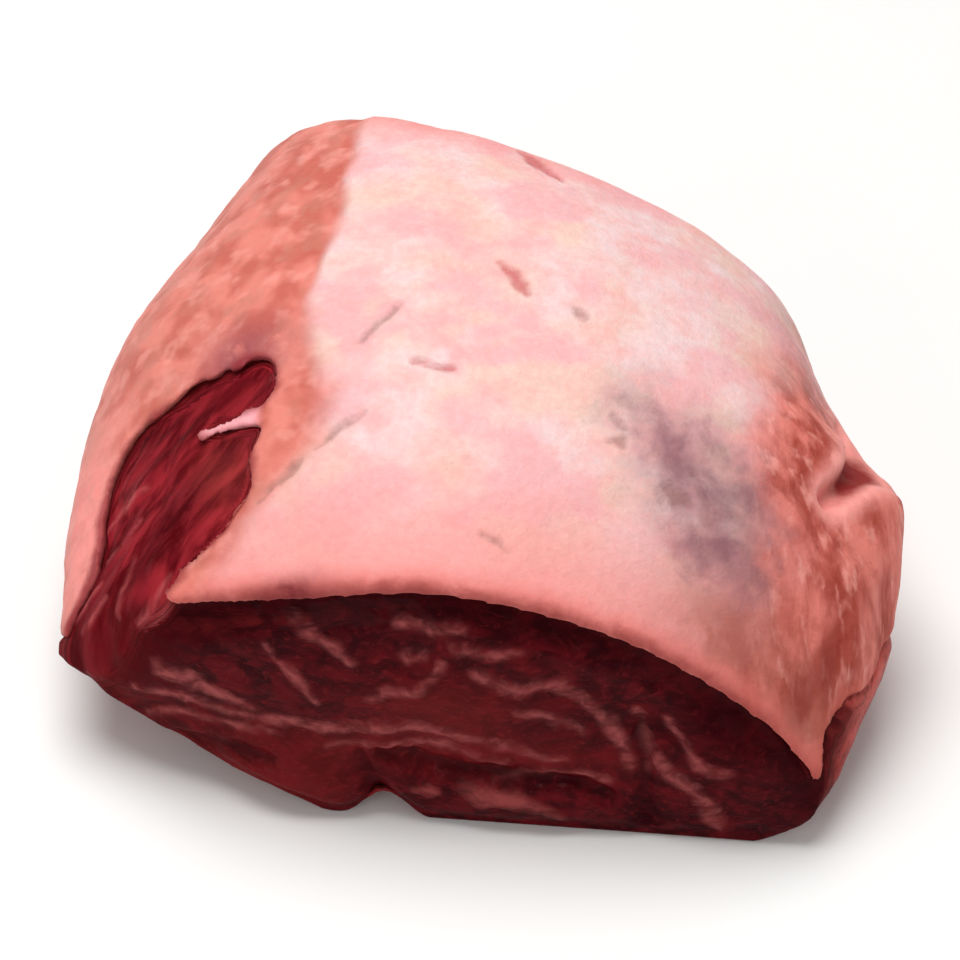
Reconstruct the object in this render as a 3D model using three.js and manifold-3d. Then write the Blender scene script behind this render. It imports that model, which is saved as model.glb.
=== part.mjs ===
// A raw, boneless lamb sirloin roast: a block of dark red muscle with a flat
// underside, cut straight across at the front and at the back, and the pale fat
// cap that wraps its top and both sides. The cap has a gap at the front left,
// where bare muscle shows, and a loose flap on the right.
//
// Millimetres, +Z up. X runs across the roast and Y from the front cut to the
// back cut. The origin is on the ground, under the middle of the roast.

import * as THREE from 'three';
import Module from 'manifold-3d';

const wasm = await Module();
wasm.setup();

const { clamp, lerp, smoothstep, degToRad } = THREE.MathUtils;

// ---- Driving dimensions ----------------------------------------------------

// Five cross-sections, evenly spaced from the front cut to the back cut.
const LEFT_REACH = [83.5, 84.3, 79.8, 66, 50];   // middle to the widest point, left
const RIGHT_REACH = [64.5, 79.2, 81.8, 75.6, 66.5];  // the same, right
const LEFT_BELLY = [22, 23, 26, 29, 35];        // height of that widest point, left
const RIGHT_BELLY = [12, 23, 29, 33, 36];       // the same, right
const CROWN = [60, 71.5, 78, 80.5, 76.5];       // height of the top
const CROWN_FULLNESS = [1.7, 1.85, 2, 2.05, 2.25];   // 2 is an ellipse, 1 a straight slope
const LEFT_HEEL_FULLNESS = [1, 1.6, 2.2, 2.3, 2.4];  // below the belly, left
const RIGHT_HEEL_FULLNESS = 2.2;                     // below the belly, right
const CROWN_X = -8;           // the top line runs left of the middle
const BASE_DROP = 9;          // depth below ground at which the full oval would close

// The two cuts, as planes y = at + yaw * x + lean * z.
const FRONT_CUT = { at: -72.5, yaw: -0.094, lean: 0.063 };
const BACK_CUT = { at: 59, yaw: -0.44, lean: -0.045 };
const CUT_SPACING = BACK_CUT.at - FRONT_CUT.at;
const FRONT_CORNER = { from: -30, width: 52, setBack: 11.5 };  // the left end turns back

// The fat cap.
const FAT = { thick: 4.5, atFront: 2.7, atGap: 2, atRim: 1.6 };
const FRONT_LIP = 2.2;        // radius of the cap's front edge
const BACK_ROLL = 8;          // radius over which the cap rolls onto the back cut
const SEPARATION = 0.3;       // clearance between the muscle and the cap
const CUTTER_PROUD = 1.7;     // how far the cutter stands out where there is no fat
const CUTTER_OVERRUN = 4;     // how far the cutter runs past both cuts
const EDGE_BLEND = 2.5;       // width over which the cap thins out at its lower edge

// Height of the cap's lower edge at given distances along Y.
const EDGE_STEPS_Y = [-78, -70, -64, -57, -50, -42, -34, 20, 80];
const RIGHT_EDGE_Z = [12, 22, 27, 24.5, 25, 21, 17, 15, 20];
const LEFT_EDGE_Z = [36, 34, 33, 31, 27.5, 20, 17, 17, 20];
const EDGE_WAVE = 1.5;

// The gap in the cap, as a chain of balls along its middle, and the tongue of
// fat that reaches into it from the right.
const GAP_CHAIN = [
  { at: [-45.5, -17.5, 67], radius: 6 },
  { at: [-54.5, -25, 61], radius: 12.6 },
  { at: [-61, -32.4, 53.5], radius: 19.3 },
  { at: [-66.3, -44, 45.5], radius: 13.5 },
  { at: [-73, -49.5, 37.5], radius: 9.2 },
  { at: [-79.5, -56.5, 28], radius: 8.6 },
];
const GAP_BLEND = 2.4;
const GAP_RECESS = 0.8;       // depth of the bare muscle below the roast's outline
const TONGUE_CHAIN = [
  { at: [-38, -27, 68], radius: 3.4 },
  { at: [-54, -25, 61], radius: 1.6 },
];

// The flap of fat low on the right, and the crevice behind its upper edge.
const FLAP = { at: [82, -22, 41.5], size: [14, 13, 9], rise: 4.4 };
const CREVICE_CHAIN = [
  { at: [78, 0, 44], radius: 0.3 },
  { at: [77, -10, 45], radius: 2.2 },
  { at: [75.5, -19, 45], radius: 3.6 },
  { at: [71.5, -27, 48.5], radius: 1.6 },
  { at: [69, -34, 52], radius: 0.3 },
];
const CREVICE_BLEND = 3.5;
const CREVICE_DEPTH = 5.2;
const RIGHT_LUMPS = { from: 48, to: 72, size: 13, rise: 1.1 };
const HOLLOWS = [
  { at: [45, -50, 56], size: [15, 22, 15], rise: -1.4 },
  { at: [73, -6, 50], size: [10, 11, 9], rise: -2.2 },
];
const UNEVENNESS = { size: 34, rise: 0.7 };

// The front cut: muscles that swell out of it or lie back, in x and z.
const FACE_SWELLS = [
  { at: [-15, 35], size: [36, 11], rise: 2 },     // the broad middle muscle
  { at: [-40, 9], size: [15, 9], rise: 3.5 },     // the smooth lobe at the lower left
  { at: [8, 8], size: [24, 7], rise: 2.2 },       // the lobe beside the notch
  { at: [47, 17], size: [12, 14], rise: 1.6 },    // the right muscle
  { at: [31, 33], size: [10, 12], rise: -2.2 },   // the hollow between the last and the first
  { at: [-62, 28], size: [12, 6], rise: 1 },      // the flat strip at the left
];
const SEAM = { z: 24, drop: 4, from: -66, to: 16, halfWidth: 4, depth: 1.6 };
const UNDERCUT = { depth: 3.4, inside: 0.8, belowZ: 14, aboveZ: 34 };
const FACE_FADE = 0.1;        // share of the length over which the front relief fades
const BACK_UNEVENNESS = { size: 26, rise: 1.6 };

// The cleft under the front edge, between two muscles.
const CLEFT = { x: -18.5, halfWidth: 9, height: 7, length: 38, reachZ: 22 };

// Facets: angles per stretch of the outline, and steps along the roast.
const OUTLINE_STRETCHES = [
  { to: 100, steps: 19 },     // right side and top
  { to: 180, steps: 26 },     // the left side, round the gap
  { to: 360, steps: 31 },     // underside
];
const SIDE_STEPS = 21;
const SIDE_CROWDING = 1.45;   // above 1 puts more of the steps near the front
const FACE_SHRINKS = [0.2, 0.38, 0.54, 0.68, 0.8, 0.9, 0.97];
const ROUNDING_STEPS = 3;
const CORE = { inset: 35, height: 0.4 };  // the line inside each section that depths point to

// ---- Helpers -----------------------------------------------------------------

// A smooth curve through evenly spaced values; t runs from 0 to 1.
function alongLoft(values, t) {
  const span = clamp(t, 0, 1) * (values.length - 1);
  const i = Math.min(Math.floor(span), values.length - 2);
  const f = span - i;
  const here = values[i];
  const next = values[i + 1];
  const before = i > 0 ? values[i - 1] : 2 * here - next;
  const after = i + 2 < values.length ? values[i + 2] : 2 * next - here;
  const cubic = 3 * here - before - 3 * next + after;
  const square = 2 * before - 5 * here + 4 * next - after;
  return 0.5 * (2 * here + (next - before) * f + square * f * f + cubic * f ** 3);
}

// Straight lines between values given at rising places.
function alongSteps(places, values, at) {
  const last = places.length - 1;
  if (at >= places[last]) return values[last];
  const i = Math.max(places.findIndex((place) => place > at), 1);
  const f = clamp((at - places[i - 1]) / (places[i] - places[i - 1]), 0, 1);
  return lerp(values[i - 1], values[i], f);
}

// Smooth unevenness between -1 and 1, in lumps about `size` across.
function lumps(point, size) {
  const { x, y, z } = point.clone().multiplyScalar(Math.PI / size);
  const across = Math.sin(x + 0.6 * y + 1.7 * Math.sin(0.5 * z));
  const along = Math.sin(y - 0.5 * z + 1.3 * Math.sin(0.6 * x) + 2.1);
  const upward = Math.sin(z + 0.4 * x + 1.1 * Math.sin(0.7 * y) + 4.2);
  return (across + along + upward) / 3;
}

// A soft hump: 1 at its middle, fading to 0 at about twice its size.
function hump(offsets, sizes) {
  const reach = offsets.reduce((sum, offset, i) => sum + (offset / sizes[i]) ** 2, 0);
  return Math.exp(-reach);
}

// Distance from a point to a chain of balls, negative inside it.
function chainDistance(point, chain) {
  let nearest = Infinity;
  for (let i = 0; i + 1 < chain.length; i += 1) {
    const start = new THREE.Vector3(...chain[i].at);
    const line = new THREE.Line3(start, new THREE.Vector3(...chain[i + 1].at));
    const share = line.closestPointToPointParameter(point, true);
    const radius = lerp(chain[i].radius, chain[i + 1].radius, share);
    const middle = line.at(share, new THREE.Vector3());
    nearest = Math.min(nearest, middle.distanceTo(point) - radius);
  }
  return nearest;
}

// ---- The form of the roast --------------------------------------------------

function frontY(x, z) {
  const pastCorner = Math.max(FRONT_CORNER.from - x, 0) / FRONT_CORNER.width;
  const turn = FRONT_CORNER.setBack * pastCorner ** 1.3;
  return FRONT_CUT.at + FRONT_CUT.yaw * x + FRONT_CUT.lean * z + turn;
}

function backY(x, z) {
  return BACK_CUT.at + BACK_CUT.yaw * x + BACK_CUT.lean * z;
}

// One point of a cross-section. The angle starts at the right and turns over
// the top to the left; below ground the oval is flattened into the underside.
function sectionPoint(angle, t) {
  const onRight = Math.cos(angle) >= 0;
  const onTop = Math.sin(angle) >= 0;
  const belly = alongLoft(onRight ? RIGHT_BELLY : LEFT_BELLY, t);
  const side = onRight
    ? alongLoft(RIGHT_REACH, t) - CROWN_X
    : -alongLoft(LEFT_REACH, t) - CROWN_X;
  const rise = onTop ? alongLoft(CROWN, t) - belly : -belly - BASE_DROP;
  const heel = onRight ? RIGHT_HEEL_FULLNESS : alongLoft(LEFT_HEEL_FULLNESS, t);
  const power = 2 / (onTop ? alongLoft(CROWN_FULLNESS, t) : heel);
  const x = CROWN_X + side * Math.abs(Math.cos(angle)) ** power;
  const z = belly + rise * Math.abs(Math.sin(angle)) ** power;
  return new THREE.Vector2(x, Math.max(z, 0));
}

// The nearest point of the line inside a section that depths are measured to.
function corePoint(x, t) {
  const left = CORE.inset - alongLoft(LEFT_REACH, t);
  const right = alongLoft(RIGHT_REACH, t) - CORE.inset;
  return new THREE.Vector2(clamp(x, left, right), CORE.height * alongLoft(CROWN, t));
}

function inSpace(flat, t) {
  const y = lerp(frontY(flat.x, flat.y), backY(flat.x, flat.y), t);
  return new THREE.Vector3(flat.x, y, flat.y);
}

// How far the surface stands out from the plain loft at a point of it.
function surfaceRelief(point) {
  const offsets = (centre) => point.toArray().map((value, i) => value - centre[i]);
  const flap = FLAP.rise * hump(offsets(FLAP.at), FLAP.size);
  const hollows = HOLLOWS.map(({ at, size, rise }) => rise * hump(offsets(at), size));
  const hollow = hollows[0] + hollows[1];
  const creviceAway = chainDistance(point, CREVICE_CHAIN);
  const crevice = -CREVICE_DEPTH * (1 - smoothstep(creviceAway, -1, CREVICE_BLEND));
  const onRight = smoothstep(point.x, RIGHT_LUMPS.from, RIGHT_LUMPS.to);
  const rough = RIGHT_LUMPS.rise * onRight * lumps(point, RIGHT_LUMPS.size);
  const uneven = UNEVENNESS.rise * lumps(point, UNEVENNESS.size);
  const offGround = smoothstep(point.z, 0, 14);
  return (flap + hollow + crevice + rough + uneven) * offGround;
}

// 1 where fat covers the muscle, 0 where it doesn't.
function coverage(point) {
  const heights = point.x > CROWN_X ? RIGHT_EDGE_Z : LEFT_EDGE_Z;
  const wave = EDGE_WAVE * Math.sin(point.y / 7 + 1.2 * Math.sin(point.y / 11));
  const edge = alongSteps(EDGE_STEPS_Y, heights, point.y) + wave;
  const aboveEdge = smoothstep(point.z, edge - EDGE_BLEND, edge + EDGE_BLEND);
  const outsideGap = smoothstep(gapDistance(point), -GAP_BLEND, GAP_BLEND);
  return aboveEdge * outsideGap;
}

// Distance to the gap in the cap, negative inside it.
function gapDistance(point) {
  const tongue = chainDistance(point, TONGUE_CHAIN);
  return Math.max(chainDistance(point, GAP_CHAIN), -tongue);
}

function fatThickness(point, t) {
  const behindFront = smoothstep(t, 0, 0.18);
  const thick = lerp(FAT.atFront, FAT.thick, behindFront);
  const awayFromGap = smoothstep(gapDistance(point), 0, 16);
  const aboveSides = smoothstep(point.z, 18, 40);
  return lerp(FAT.atGap, lerp(FAT.atRim, thick, aboveSides), awayFromGap);
}

// A point at some depth under the outline. `shrink` below 1 pulls it towards
// the middle of its section, which is how the two cuts are filled.
function pointAtDepth(angle, ring, depthAt) {
  const flat = sectionPoint(angle, ring.t);
  const outline = inSpace(flat, clamp(ring.t, 0, 1));
  const depth = depthAt(outline, ring.t) + ring.inset - surfaceRelief(outline);
  const inward = corePoint(flat.x, ring.t).sub(flat).normalize();
  const sunk = flat.addScaledVector(inward, depth);
  const middle = corePoint(CROWN_X, ring.t);
  return inSpace(middle.lerp(sunk, ring.shrink), ring.t);
}

const outlineDepth = () => 0;

function muscleDepth(point, t) {
  const bare = gapDistance(point) < GAP_BLEND ? GAP_RECESS : 0;
  return lerp(bare, fatThickness(point, t), coverage(point));
}

function cutterDepth(point, t) {
  const underFat = fatThickness(point, t) - SEPARATION;
  return lerp(-CUTTER_PROUD, underFat, coverage(point));
}

// How far the front cut of the muscle stands forward, in mm.
function frontRelief(point, shrink) {
  const swells = FACE_SWELLS.reduce((sum, { at, size, rise }) => (
    sum + rise * hump([point.x - at[0], point.z - at[1]], size)
  ), 0);
  const share = (point.x - SEAM.from) / (SEAM.to - SEAM.from);
  const seamZ = SEAM.z - SEAM.drop * Math.max(share, 0) ** 3;
  const onSeam = smoothstep(share, 0, 0.15) * (1 - smoothstep(share, 0.85, 1));
  const seam = -SEAM.depth * onSeam * hump([point.z - seamZ], [SEAM.halfWidth]);
  const nearRim = smoothstep(shrink, UNDERCUT.inside, 1);
  const underCap = smoothstep(point.z, UNDERCUT.belowZ, UNDERCUT.aboveZ);
  const inside = 1 - smoothstep(shrink, 0.85, 1);
  return (swells + seam) * inside - UNDERCUT.depth * nearRim * underCap;
}

// The cleft lifts the underside near the front, and the muscle above gives way.
function liftOverCleft(point) {
  const across = clamp(Math.abs(point.x - CLEFT.x) / CLEFT.halfWidth, 0, 1);
  const behind = (point.y - frontY(point.x, point.z)) / CLEFT.length;
  const arch = Math.cos(across * Math.PI / 2) ** 2;
  const height = CLEFT.height * arch * (1 - smoothstep(behind, 0, 1));
  return height * clamp(1 - point.z / CLEFT.reachZ, 0, 1);
}

function musclePoint(angle, ring) {
  const point = pointAtDepth(angle, ring, muscleDepth);
  const nearFront = clamp(1 - ring.t / FACE_FADE, 0, 1);
  const nearBack = clamp(1 - (1 - ring.t) / FACE_FADE, 0, 1);
  point.y -= frontRelief(point, ring.shrink) * nearFront;
  const onBack = 1 - smoothstep(ring.shrink, 0.8, 1);
  point.y += BACK_UNEVENNESS.rise * lumps(point, BACK_UNEVENNESS.size) * nearBack * onBack;
  point.z += liftOverCleft(point);
  return point;
}

// ---- From form to facets ----------------------------------------------------

function outlineAngles() {
  const angles = [];
  let from = 0;
  for (const { to, steps } of OUTLINE_STRETCHES) {
    for (let i = 0; i < steps; i += 1) {
      angles.push(degToRad(lerp(from, to, i / steps)));
    }
    from = to;
  }
  return angles;
}

// Rings that turn a rounded edge from a cut onto the side. At quarter 0 the
// ring lies in the cut, and at quarter 1 on the side.
function roundingRings(radius, atBack) {
  const rings = [];
  for (let i = 0; i < ROUNDING_STEPS; i += 1) {
    const turn = (i / ROUNDING_STEPS) * Math.PI / 2;
    const away = radius * (1 - Math.cos(turn)) / CUT_SPACING;
    const inset = radius * (1 - Math.sin(turn));
    rings.push({ t: atBack ? 1 - away : away, inset, shrink: 1 });
  }
  return rings;
}

function cutRings(t, inset) {
  return FACE_SHRINKS.map((shrink) => ({ t, inset, shrink }));
}

function sideRings() {
  const first = FRONT_LIP / CUT_SPACING;
  const last = 1 - BACK_ROLL / CUT_SPACING;
  return Array.from({ length: SIDE_STEPS + 1 }, (_, i) => (
    { t: lerp(first, last, (i / SIDE_STEPS) ** SIDE_CROWDING), inset: 0, shrink: 1 }
  ));
}

// All rings of a closed solid with rounded front and back edges.
function roundedRings(frontRadius, backRadius) {
  return [
    ...cutRings(0, frontRadius),
    ...roundingRings(frontRadius, false),
    ...sideRings(),
    ...roundingRings(backRadius, true).reverse(),
    ...cutRings(1, backRadius).reverse(),
  ];
}

// Rings of the cutter, which runs straight on past both cuts.
function cutterRings() {
  const past = CUTTER_OVERRUN / CUT_SPACING;
  return [
    ...cutRings(-past, 0).slice(0, 1),
    { t: -past, inset: 0, shrink: 1 },
    ...sideRings(),
    { t: 1 + past, inset: 0, shrink: 1 },
    ...cutRings(1 + past, 0).slice(0, 1),
  ];
}

// Joins the rings into one closed surface with its faces pointing out.
function closedLoft(rings, place) {
  const angles = outlineAngles();
  const count = angles.length;
  const points = rings.flatMap((ring) => angles.map((angle) => place(angle, ring)));
  const frontPole = points.push(place(0, { ...rings[0], shrink: 0 })) - 1;
  const backPole = points.push(place(0, { ...rings.at(-1), shrink: 0 })) - 1;
  const faces = [];
  for (let k = 0; k < count; k += 1) {
    const next = (k + 1) % count;
    const lastRing = (rings.length - 1) * count;
    faces.push(frontPole, k, next, backPole, lastRing + next, lastRing + k);
    for (let j = 0; j + 1 < rings.length; j += 1) {
      const here = j * count;
      const behind = here + count;
      faces.push(here + k, behind + k, here + next, here + next, behind + k, behind + next);
    }
  }
  const geometry = new THREE.BufferGeometry().setFromPoints(points);
  geometry.setIndex(faces);
  return geometry;
}

function toSolid(geometry) {
  const vertProperties = new Float32Array(geometry.attributes.position.array);
  const triVerts = new Uint32Array(geometry.index.array);
  return new wasm.Manifold(new wasm.Mesh({ numProp: 3, vertProperties, triVerts }));
}

function toGeometry(solid) {
  const { vertProperties, triVerts } = solid.getMesh();
  const geometry = new THREE.BufferGeometry();
  geometry.setAttribute('position', new THREE.BufferAttribute(vertProperties, 3));
  geometry.setIndex(new THREE.BufferAttribute(triVerts, 1));
  return geometry;
}

function largestPiece(solid) {
  const pieces = solid.decompose();
  return pieces.reduce((best, piece) => (piece.volume() > best.volume() ? piece : best));
}

// ---- The two pieces -----------------------------------------------------------

function finished(geometry, name, color, roughness) {
  geometry.computeVertexNormals();
  const material = new THREE.MeshStandardMaterial({ color, roughness, metalness: 0 });
  const mesh = new THREE.Mesh(geometry, material);
  mesh.name = name;
  return mesh;
}

function makeLean() {
  const rings = roundedRings(FRONT_LIP / 2, BACK_ROLL / 3);
  return finished(closedLoft(rings, musclePoint), 'lean', 0x7a1f2b, 0.35);
}

function makeFatCap() {
  const outline = (angle, ring) => pointAtDepth(angle, ring, outlineDepth);
  const cutter = (angle, ring) => pointAtDepth(angle, ring, cutterDepth);
  const whole = toSolid(closedLoft(roundedRings(FRONT_LIP, BACK_ROLL), outline));
  const inside = toSolid(closedLoft(cutterRings(), cutter));
  const cap = largestPiece(whole.subtract(inside));
  return finished(toGeometry(cap), 'fat_cap', 0xf2b8ae, 0.4);
}

const roast = new THREE.Group();
roast.add(makeLean(), makeFatCap());

export default roast;
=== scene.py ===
"""A raw lamb sirloin roast: dark red muscle under a pale pink fat cap.

The two solids of the frame are replaced by finely modelled meat of the same
form. All shapes are worked out in millimetres and turned into metres when a
mesh is made. X runs across the roast, Y from the front cut to the back cut.
"""

import math

import bmesh
import bpy
import numpy as np
from mathutils import Matrix, Vector


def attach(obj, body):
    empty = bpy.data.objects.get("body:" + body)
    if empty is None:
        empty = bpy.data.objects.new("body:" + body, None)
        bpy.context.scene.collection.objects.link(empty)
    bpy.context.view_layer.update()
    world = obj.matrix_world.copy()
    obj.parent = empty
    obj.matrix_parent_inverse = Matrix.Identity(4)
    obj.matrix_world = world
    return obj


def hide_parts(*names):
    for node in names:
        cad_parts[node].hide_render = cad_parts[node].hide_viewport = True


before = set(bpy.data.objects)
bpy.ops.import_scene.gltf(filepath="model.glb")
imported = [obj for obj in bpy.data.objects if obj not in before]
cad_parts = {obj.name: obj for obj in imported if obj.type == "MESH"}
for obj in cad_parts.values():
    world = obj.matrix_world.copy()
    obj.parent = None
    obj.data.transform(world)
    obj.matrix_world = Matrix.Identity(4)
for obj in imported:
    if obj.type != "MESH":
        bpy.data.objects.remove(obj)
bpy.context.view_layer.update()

MM = 0.001

# ---- Driving dimensions of the form, as in the solids (mm) ----

LEFT_REACH = [83.5, 84.3, 79.8, 66, 50]
RIGHT_REACH = [64.5, 79.2, 81.8, 75.6, 66.5]
LEFT_BELLY = [22, 23, 26, 29, 35]
RIGHT_BELLY = [12, 23, 29, 33, 36]
CROWN = [60, 71.5, 78, 80.5, 76.5]
CROWN_FULLNESS = [1.7, 1.85, 2, 2.05, 2.25]
LEFT_HEEL_FULLNESS = [1, 1.6, 2.2, 2.3, 2.4]
RIGHT_HEEL_FULLNESS = 2.2
CROWN_X = -8
BASE_DROP = 9

FRONT_AT, FRONT_YAW, FRONT_LEAN = -72.5, -0.094, 0.063
BACK_AT, BACK_YAW, BACK_LEAN = 59, -0.44, -0.045
CUT_SPACING = BACK_AT - FRONT_AT
CORNER_FROM, CORNER_WIDTH, CORNER_SET_BACK = -30, 52, 11.5

FAT_THICK, FAT_AT_FRONT, FAT_AT_GAP, FAT_AT_RIM = 4.5, 2.7, 2, 1.6
FAT_THICKENS_BY = 0.18  # in shares of the length, from the front cut
FAT_RIM_Z = (18, 40)  # thin fat below the first, full thickness above the second
FAT_GAP_REACH = 16
COVER_BLEND = 2.4
FRONT_LIP = 2.2
BACK_ROLL = 8

EDGE_STEPS_Y = [-78, -70, -64, -57, -50, -42, -34, 20, 80]
RIGHT_EDGE_Z = [12, 22, 27, 24.5, 25, 21, 17, 15, 20]
LEFT_EDGE_Z = [36, 34, 33, 31, 27.5, 20, 17, 17, 20]
EDGE_WAVE, EDGE_WAVE_STEP, EDGE_WAVE_DRIFT = 1.5, 7, 11

GAP_CHAIN = [
    ((-45.5, -17.5, 67), 6), ((-54.5, -25, 61), 12.6), ((-61, -32.4, 53.5), 19.3),
    ((-66.3, -44, 45.5), 13.5), ((-73, -49.5, 37.5), 9.2), ((-79.5, -56.5, 28), 8.6),
]
GAP_RECESS, GAP_RECESS_REACH = 0.8, 2
TONGUE_CHAIN = [((-38, -27, 68), 3.4), ((-54, -25, 61), 1.6)]

FLAP = [((82, -22, 41.5), (14, 13, 9), 4.4)]
CREVICE_CHAIN = [
    ((78, 0, 44), 0.3), ((77, -10, 45), 2.2), ((75.5, -19, 45), 3.6),
    ((71.5, -27, 48.5), 1.6), ((69, -34, 52), 0.3),
]
CREVICE_BLEND, CREVICE_DEPTH = 3.5, 5.2
HOLLOWS = [((45, -50, 56), (15, 22, 15), -1.4), ((73, -6, 50), (10, 11, 9), -2.2)]
RIGHT_LUMPS_FROM, RIGHT_LUMPS_TO, RIGHT_LUMPS_SIZE, RIGHT_LUMPS_RISE = 48, 72, 13, 1.1
UNEVEN_SIZE, UNEVEN_RISE = 34, 0.7
RELIEF_FULL_Z = 14

FACE_SWELLS = [
    ((-15, 35), (36, 11), 2),
    ((-40, 9), (15, 9), 3.5),
    ((8, 8), (24, 7), 2.2),
    ((47, 17), (12, 14), 1.6),
    ((31, 33), (10, 12), -2.2),
    ((-62, 28), (12, 6), 1),
]
UNDERCUT_DEPTH, UNDERCUT_INSIDE, UNDERCUT_BELOW_Z, UNDERCUT_ABOVE_Z = 3.4, 0.8, 14, 34
SWELLS_INSIDE, BACK_UNEVEN_INSIDE = 0.85, 0.8  # they fade outside this share of the cut
FACE_FADE = 0.1
BACK_UNEVEN_SIZE, BACK_UNEVEN_RISE = 26, 1.6

CLEFT_X, CLEFT_HALF_WIDTH, CLEFT_HEIGHT, CLEFT_LENGTH, CLEFT_REACH_Z = -18.5, 9, 7, 38, 22
CORE_INSET, CORE_HEIGHT = 35, 0.4

# ---- Fine features, which the solids leave out (mm) ----

FINE_BLEND = 0.7  # half the width of the cap's lower edge
GAP_BLEND = 2.0  # and of its edge around the gap
CUTTER_PROUD = 1.7  # how far the cutter stands out where there is no fat
FAT_SINK = 0.25  # the cap reaches this far into the muscle, so no gap shows
FAT_VOXEL = 0.6
ROUNDS_ALL_OVER, ROUNDS_AT_EDGE, EDGE_REACH = 8, 24, 2.5  # smoothing of the cap
TORN_EDGE, FRAYED_EDGE = 2.4, 1.0  # how far the cap's edges stray, at the gap and below
TORN_END = [((-46, -11.5, 67), (10, 6, 9), 3)]  # more torn here
CAP_INSIDE = (0, 0, 25)  # a place that the cap's inner side faces
FAR = 9  # a distance beyond the reach of any line

# Silverskin and streaks of fat on the front cut, in x and z, with half widths.
FACE_LINES = [
    [((-66, 24), 0.3), ((-52, 23.8), 0.4), ((-39, 23.9), 0.7), ((-30, 24), 0.8),
     ((-20, 25.2), 0.7), ((-11, 24.6), 0.5), ((-3, 23.2), 0.4), ((8, 21.4), 0.3), ((16, 19.4), 0.1)],
    [((-61, 30.7), 1.1), ((-54, 28.9), 1.3), ((-48, 27), 0.8), ((-43, 25.5), 0.6)],
    [((0, 41), 0.4), ((4, 38.4), 0.7), ((9, 37), 0.5), ((14, 38.2), 0.6),
     ((20, 33), 0.7), ((24.9, 27), 0.9), ((27.5, 22), 0.7), ((28.4, 18), 0.2)],
    [((33, 21), 0.2), ((36.5, 18.8), 0.6), ((41, 14.5), 0.8), ((44.5, 9.5), 0.8), ((46.4, 5), 0.4)],
    [((36, 30), 0.1), ((38.5, 25), 0.4), ((42, 20.5), 0.4), ((46.5, 19.5), 0.7)],
    [((-20, 32.4), 0.5), ((-17, 34.8), 0.4), ((-11.4, 36.4), 0.5), ((-8.4, 39.6), 0.5), ((-7, 42.8), 0.3)],
    [((-34.6, 48.6), 0.2), ((-31.5, 45.6), 0.5), ((-28, 44.6), 0.7), ((-25, 41.8), 0.3)],
    [((-41, 42), 0.1), ((-38.4, 38.6), 0.3), ((-35, 36.4), 0.5), ((-31.6, 32), 0.2)],
    [((-16, 50.4), 0.1), ((-9, 49.2), 0.3), ((-3, 50.2), 0.1)],
    [((-5, 46), 0.1), ((2, 45), 0.3), ((8, 45.8), 0.1)],
    [((-14, 44), 0.2), ((-10.5, 44.6), 0.3)],
    [((-30, 20), 0.1), ((-18, 19.6), 0.3), ((-6, 20.4), 0.2), ((4, 18), 0.1)],
    [((-64, 17), 0.1), ((-56, 19.4), 0.3), ((-48, 20.2), 0.2), ((-40, 20.6), 0.1)],
    [((2, 14), 0.1), ((12, 16.4), 0.3), ((20, 16), 0.2), ((25, 14.4), 0.1)],
    [((29, 31), 0.1), ((31, 24), 0.2), ((31.4, 18), 0.1)],
    [((8, 31), 0.1), ((13, 29.6), 0.3), ((19, 26), 0.1)],
]
FACE_LINE_RISE = 0.2
# Lumps of fat low on the front cut.
FACE_FAT = [
    [((-12.5, 9.6), 0.7), ((-9, 9.8), 0.9)],
    [((-1.4, 10.4), 1.9), ((5.6, 9.4), 2.2), ((10, 7.6), 1.1), ((16, 5), 0.9)],
]
FACE_FAT_RISE = 0.4
# Clefts between the muscles of the front cut, carved in and darkened with painted shade.
FACE_CLEFTS = [
    [((-19, 17.2), 0.3), ((-8, 15.2), 0.9), ((7, 15.4), 1.0), ((19, 13.2), 0.8), ((25, 11), 0.3)],
    [((29.6, 28), 0.2), ((30.8, 19), 0.8), ((31.6, 12), 0.7), ((33, 4), 0.3)],
    [((-58, 12.5), 0.3), ((-47, 14.5), 0.9), ((-40, 14), 0.3)],
    [((-24, 17), 0.2), ((-21.5, 11), 0.8), ((-19, 6), 1.2), ((-18.6, 0), 1.6)],
]
FACE_CLEFT_DEPTH = 1.5

# The same on the back cut.
BACK_LINES = [
    [((-44, 33), 0.3), ((-30, 37), 0.7), ((-14, 35), 0.8),
     ((0, 30), 0.9), ((14, 28.4), 0.6), ((30, 31), 0.3)],
    [((-8, 66), 0.3), ((-3, 56), 0.8), ((2, 47), 0.9), ((3, 38), 0.6), ((-1, 31), 0.3)],
    [((16, 62), 0.1), ((24, 54), 0.6), ((33, 47), 0.8), ((41, 43), 0.3)],
    [((-34, 58), 0.1), ((-27, 52), 0.5), ((-20, 49), 0.6), ((-14, 50), 0.1)],
    [((44, 30), 0.1), ((38, 22), 0.6), ((36, 14), 0.5), ((38, 8), 0.1)],
    [((-38, 20), 0.1), ((-26, 16), 0.5), ((-14, 18), 0.5), ((-6, 15), 0.1)],
    [((10, 20), 0.1), ((17, 15), 0.4), ((25, 13), 0.1)],
    [((12, 44), 0.1), ((19, 40), 0.4), ((27, 40), 0.1)],
]
BACK_FAT = [
    [((3, 27), 1.0), ((8, 25), 2.2), ((13, 25.4), 0.9)],
    [((-1, 58), 0.7), ((1, 53), 1.5), ((3, 50), 0.6)],
    [((31, 50), 0.5), ((35, 46), 1.3)],
]
BACK_CLEFTS = [
    [((-46, 29), 0.3), ((-30, 32.6), 0.8), ((-14, 30.6), 1), ((0, 25.6), 0.8), ((15, 23), 0.4)],
    [((-11, 62), 0.2), ((-7, 53), 0.8), ((-3, 45), 0.7), ((-2, 38), 0.3)],
    [((29, 45), 0.2), ((38, 38), 0.8), ((48, 35), 0.4)],
]

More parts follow.
